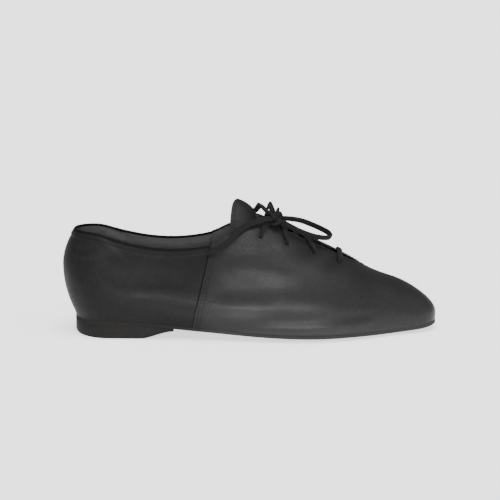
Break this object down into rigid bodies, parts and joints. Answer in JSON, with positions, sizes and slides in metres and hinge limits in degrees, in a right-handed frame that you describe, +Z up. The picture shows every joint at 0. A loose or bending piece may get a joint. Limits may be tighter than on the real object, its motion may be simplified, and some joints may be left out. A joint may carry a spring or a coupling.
{
  "type": "dance shoe",
  "caption": "Soft leather lace-up jazz dance shoe for the right foot, with a thin full sole, a low heel and a tied cotton lace.",
  "frame": {"origin": "on the floor, under the middle of the shoe's length and width, measured without the free lace", "axes": "+X from heel to toe, -Y to the outer side of the foot, +Z up"},
  "size_m": [0.262, 0.086, 0.093],
  "materials": {
    "upper_leather": "satin",
    "tongue_leather": "satin",
    "insole_fabric": "matte",
    "outsole_leather": "matte",
    "heel_rubber": "matte",
    "lace_cotton": "matte"
  },
  "bodies": {
    "root": {"upper": "upper_leather", "tongue": "tongue_leather", "insole": "insole_fabric", "outsole": "outsole_leather", "heel": "heel_rubber", "lace_bar": "lace_cotton", "lace_cross_front": "lace_cotton", "lace_cross_top": "lace_cotton", "lace_knot": "lace_cotton", "lace_loop_lateral": "lace_cotton", "lace_loop_medial": "lace_cotton", "lace_end_lateral": "lace_cotton", "lace_end_medial": "lace_cotton"}
  },
  "joints": []
}
